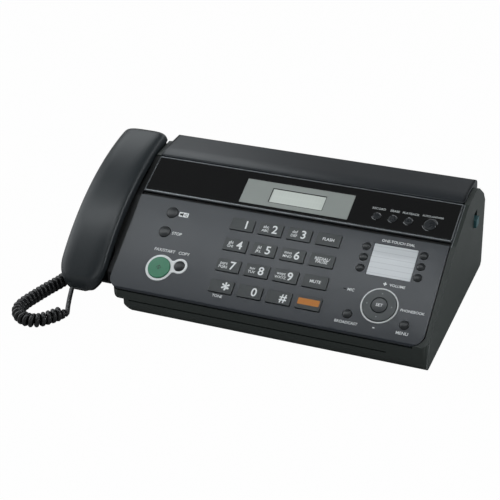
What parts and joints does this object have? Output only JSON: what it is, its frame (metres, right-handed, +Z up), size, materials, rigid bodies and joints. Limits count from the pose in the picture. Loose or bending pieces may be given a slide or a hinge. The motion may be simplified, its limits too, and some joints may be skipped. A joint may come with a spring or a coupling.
{
  "type": "fax machine",
  "caption": "Desk fax machine with a corded handset in a side cradle, a sloping keypad panel, a display band, a hinged cover over a paper roll, and a curly cord.",
  "frame": {"origin": "middle of the footprint's bounding box, on the surface that the feet stand on, measured without the cord", "axes": "+X to the right of the control panel, -Y out of the front, +Z up"},
  "size_m": [0.4029, 0.2574, 0.1106],
  "materials": {
    "case_plastic": "fine matte texture",
    "panel_plastic": "fine matte texture, dark slate grey",
    "cover_plastic": "fine matte texture",
    "black_plastic": "satin black",
    "band_black": "high gloss black",
    "label_grey": "satin printed grey with a clear window",
    "silver_trim": "satin silver and white trims",
    "card_stock": "ruled card",
    "key_plastic": "satin keys with white legends",
    "button_green": "satin green",
    "nav_grey": "satin",
    "band_button": "satin",
    "handset_plastic": "fine matte texture",
    "handset_inner": "fine matte texture",
    "lever_teal": "satin teal",
    "rubber_black": "matte rubber",
    "roller_rubber": "ground rubber",
    "paper_white": "thermal paper",
    "head_metal": "bare aluminium with a ceramic strip",
    "sensor_black": "black housing with a glass strip",
    "board_green": "solder mask green",
    "motor_metal": "zinc plated",
    "screw_steel": "zinc plated",
    "cord_black": "satin flexible plastic"
  },
  "bodies": {
    "base": {"lower_case": "case_plastic", "rubber_feet": "rubber_black", "handset_cradle": "black_plastic", "thermal_head": "head_metal", "image_sensor": "sensor_black", "circuit_boards": "board_green", "drive_motor": "motor_metal", "case_screws": "screw_steel", "handset_cord_coil": "cord_black", "handset_cord_tails": "cord_black"},
    "cover": {"control_panel": "panel_plastic", "display_band": "band_black", "lcd_module": "label_grey", "top_cover": "cover_plastic", "directory_card": "card_stock", "panel_trims": "silver_trim", "key_board": "board_green"},
    "handset": {"handset_back": "handset_plastic", "handset_front": "handset_inner"},
    "hook_switch": {"hook_switch": "black_plastic"},
    "cover_lever": {"cover_lever": "lever_teal"},
    "document_guide_left": {"document_guide_left": "cover_plastic"},
    "document_guide_right": {"document_guide_right": "cover_plastic"},
    "paper_roll": {"paper_roll": "paper_white"},
    "platen_roller": {"platen_roller": "roller_rubber"},
    "feed_roller": {"feed_roller": "roller_rubber"},
    "key_1": {"key_1": "key_plastic"},
    "key_2": {"key_2": "key_plastic"},
    "key_3": {"key_3": "key_plastic"},
    "key_flash": {"key_flash": "key_plastic"},
    "key_4": {"key_4": "key_plastic"},
    "key_5": {"key_5": "key_plastic"},
    "key_6": {"key_6": "key_plastic"},
    "key_redial": {"key_redial": "key_plastic"},
    "key_7": {"key_7": "key_plastic"},
    "key_8": {"key_8": "key_plastic"},
    "key_9": {"key_9": "key_plastic"},
    "key_mute": {"key_mute": "key_plastic"},
    "key_star": {"key_star": "key_plastic"},
    "key_0": {"key_0": "key_plastic"},
    "key_hash": {"key_hash": "key_plastic"},
    "key_dial_mode": {"key_dial_mode": "key_plastic"},
    "speakerphone_button": {"speakerphone_button": "key_plastic"},
    "stop_button": {"stop_button": "key_plastic"},
    "start_button": {"start_button": "button_green"},
    "copy_button": {"copy_button": "key_plastic"},
    "one_touch_button_1": {"one_touch_button_1": "key_plastic"},
    "one_touch_button_2": {"one_touch_button_2": "key_plastic"},
    "one_touch_button_3": {"one_touch_button_3": "key_plastic"},
    "one_touch_button_4": {"one_touch_button_4": "key_plastic"},
    "one_touch_button_5": {"one_touch_button_5": "key_plastic"},
    "one_touch_button_6": {"one_touch_button_6": "key_plastic"},
    "navigator_disc": {"navigator_disc": "nav_grey"},
    "set_button": {"set_button": "nav_grey"},
    "broadcast_button": {"broadcast_button": "key_plastic"},
    "menu_button": {"menu_button": "key_plastic"},
    "record_button": {"record_button": "band_button"},
    "erase_button": {"erase_button": "band_button"},
    "playback_button": {"playback_button": "band_button"},
    "auto_answer_button": {"auto_answer_button": "band_button"}
  },
  "joints": [
    {"name": "cover_hinge", "type": "hinge", "parent": "base", "child": "cover", "pos_m": [0.0223, -0.09056, 0.02532], "axis": [1, 0, 0], "range_deg": [0, 62]},
    {"name": "handset_lift", "type": "slide", "parent": "base", "child": "handset", "axis": [0, -0.4848, 0.8746], "range_m": [0, 0.12]},
    {"name": "hook_rise", "type": "slide", "parent": "base", "child": "hook_switch", "axis": [0, -0.4848, 0.8746], "range_m": [0, 0.003]},
    {"name": "cover_release", "type": "slide", "parent": "base", "child": "cover_lever", "axis": [0, 0, 1], "range_m": [0, 0.006], "stiffness_N_per_m": 200},
    {"name": "guide_left_slide", "type": "slide", "parent": "base", "child": "document_guide_left", "axis": [1, 0, 0], "range_m": [0, 0.044]},
    {"name": "guide_right_slide", "type": "slide", "parent": "base", "child": "document_guide_right", "axis": [1, 0, 0], "range_m": [-0.044, 0]},
    {"name": "paper_roll_spin", "type": "hinge", "parent": "base", "child": "paper_roll", "pos_m": [0.0183, 0.03544, 0.035], "axis": [1, 0, 0], "continuous": true},
    {"name": "platen_spin", "type": "hinge", "parent": "base", "child": "platen_roller", "pos_m": [0.0183, 0.06544, 0.076], "axis": [1, 0, 0], "continuous": true},
    {"name": "feed_spin", "type": "hinge", "parent": "cover", "child": "feed_roller", "pos_m": [0.0183, -0.03256, 0.0443], "axis": [1, 0, 0], "continuous": true},
    {"name": "key_1_press", "type": "slide", "parent": "cover", "child": "key_1", "axis": [0, 0.5505, -0.8348], "range_m": [0, 0.0015], "stiffness_N_per_m": 400},
    {"name": "key_2_press", "type": "slide", "parent": "cover", "child": "key_2", "axis": [0, 0.5505, -0.8348], "range_m": [0, 0.0015], "stiffness_N_per_m": 400},
    {"name": "key_3_press", "type": "slide", "parent": "cover", "child": "key_3", "axis": [0, 0.5505, -0.8348], "range_m": [0, 0.0015], "stiffness_N_per_m": 400},
    {"name": "key_flash_press", "type": "slide", "parent": "cover", "child": "key_flash", "axis": [0, 0.5505, -0.8348], "range_m": [0, 0.0015], "stiffness_N_per_m": 400},
    {"name": "key_4_press", "type": "slide", "parent": "cover", "child": "key_4", "axis": [0, 0.5505, -0.8348], "range_m": [0, 0.0015], "stiffness_N_per_m": 400},
    {"name": "key_5_press", "type": "slide", "parent": "cover", "child": "key_5", "axis": [0, 0.5505, -0.8348], "range_m": [0, 0.0015], "stiffness_N_per_m": 400},
    {"name": "key_6_press", "type": "slide", "parent": "cover", "child": "key_6", "axis": [0, 0.5505, -0.8348], "range_m": [0, 0.0015], "stiffness_N_per_m": 400},
    {"name": "key_redial_press", "type": "slide", "parent": "cover", "child": "key_redial", "axis": [0, 0.5505, -0.8348], "range_m": [0, 0.0015], "stiffness_N_per_m": 400},
    {"name": "key_7_press", "type": "slide", "parent": "cover", "child": "key_7", "axis": [0, 0.5505, -0.8348], "range_m": [0, 0.0015], "stiffness_N_per_m": 400},
    {"name": "key_8_press", "type": "slide", "parent": "cover", "child": "key_8", "axis": [0, 0.5505, -0.8348], "range_m": [0, 0.0015], "stiffness_N_per_m": 400},
    {"name": "key_9_press", "type": "slide", "parent": "cover", "child": "key_9", "axis": [0, 0.5505, -0.8348], "range_m": [0, 0.0015], "stiffness_N_per_m": 400},
    {"name": "key_mute_press", "type": "slide", "parent": "cover", "child": "key_mute", "axis": [0, 0.5505, -0.8348], "range_m": [0, 0.0015], "stiffness_N_per_m": 400},
    {"name": "key_star_press", "type": "slide", "parent": "cover", "child": "key_star", "axis": [0, 0.5505, -0.8348], "range_m": [0, 0.0015], "stiffness_N_per_m": 400},
    {"name": "key_0_press", "type": "slide", "parent": "cover", "child": "key_0", "axis": [0, 0.5505, -0.8348], "range_m": [0, 0.0015], "stiffness_N_per_m": 400},
    {"name": "key_hash_press", "type": "slide", "parent": "cover", "child": "key_hash", "axis": [0, 0.5505, -0.8348], "range_m": [0, 0.0015], "stiffness_N_per_m": 400},
    {"name": "key_dial_mode_press", "type": "slide", "parent": "cover", "child": "key_dial_mode", "axis": [0, 0.5505, -0.8348], "range_m": [0, 0.0015], "stiffness_N_per_m": 400},
    {"name": "speakerphone_button_press", "type": "slide", "parent": "cover", "child": "speakerphone_button", "axis": [0, 0.5505, -0.8348], "range_m": [0, 0.0015], "stiffness_N_per_m": 400},
    {"name": "stop_button_press", "type": "slide", "parent": "cover", "child": "stop_button", "axis": [0, 0.5505, -0.8348], "range_m": [0, 0.0015], "stiffness_N_per_m": 400},
    {"name": "start_button_press", "type": "slide", "parent": "cover", "child": "start_button", "axis": [0, 0.5505, -0.8348], "range_m": [0, 0.0015], "stiffness_N_per_m": 400},
    {"name": "copy_button_press", "type": "slide", "parent": "cover", "child": "copy_button", "axis": [0, 0.5505, -0.8348], "range_m": [0, 0.0015], "stiffness_N_per_m": 400},
    {"name": "one_touch_button_1_press", "type": "slide", "parent": "cover", "child": "one_touch_button_1", "axis": [0, 0.5505, -0.8348], "range_m": [0, 0.0015], "stiffness_N_per_m": 400},
    {"name": "one_touch_button_2_press", "type": "slide", "parent": "cover", "child": "one_touch_button_2", "axis": [0, 0.5505, -0.8348], "range_m": [0, 0.0015], "stiffness_N_per_m": 400},
    {"name": "one_touch_button_3_press", "type": "slide", "parent": "cover", "child": "one_touch_button_3", "axis": [0, 0.5505, -0.8348], "range_m": [0, 0.0015], "stiffness_N_per_m": 400},
    {"name": "one_touch_button_4_press", "type": "slide", "parent": "cover", "child": "one_touch_button_4", "axis": [0, 0.5505, -0.8348], "range_m": [0, 0.0015], "stiffness_N_per_m": 400},
    {"name": "one_touch_button_5_press", "type": "slide", "parent": "cover", "child": "one_touch_button_5", "axis": [0, 0.5505, -0.8348], "range_m": [0, 0.0015], "stiffness_N_per_m": 400},
    {"name": "one_touch_button_6_press", "type": "slide", "parent": "cover", "child": "one_touch_button_6", "axis": [0, 0.5505, -0.8348], "range_m": [0, 0.0015], "stiffness_N_per_m": 400},
    {"name": "navigator_disc_press", "type": "slide", "parent": "cover", "child": "navigator_disc", "axis": [0, 0.5505, -0.8348], "range_m": [0, 0.0015], "stiffness_N_per_m": 400},
    {"name": "set_button_press", "type": "slide", "parent": "cover", "child": "set_button", "axis": [0, 0.5505, -0.8348], "range_m": [0, 0.0015], "stiffness_N_per_m": 400},
    {"name": "broadcast_button_press", "type": "slide", "parent": "cover", "child": "broadcast_button", "axis": [0, 0.5505, -0.8348], "range_m": [0, 0.0015], "stiffness_N_per_m": 400},
    {"name": "menu_button_press", "type": "slide", "parent": "cover", "child": "menu_button", "axis": [0, 0.5505, -0.8348], "range_m": [0, 0.0015], "stiffness_N_per_m": 400},
    {"name": "record_button_press", "type": "slide", "parent": "cover", "child": "record_button", "axis": [0, 0.3955, -0.9184], "range_m": [0, 0.0015], "stiffness_N_per_m": 400},
    {"name": "erase_button_press", "type": "slide", "parent": "cover", "child": "erase_button", "axis": [0, 0.3955, -0.9184], "range_m": [0, 0.0015], "stiffness_N_per_m": 400},
    {"name": "playback_button_press", "type": "slide", "parent": "cover", "child": "playback_button", "axis": [0, 0.3955, -0.9184], "range_m": [0, 0.0015], "stiffness_N_per_m": 400},
    {"name": "auto_answer_button_press", "type": "slide", "parent": "cover", "child": "auto_answer_button", "axis": [0, 0.3955, -0.9184], "range_m": [0, 0.0015], "stiffness_N_per_m": 400}
  ],
  "couplings": [
    {"joint": "hook_rise", "follows": "handset_lift", "ratio": 0.025},
    {"joint": "guide_right_slide", "follows": "guide_left_slide", "ratio": -1}
  ]
}
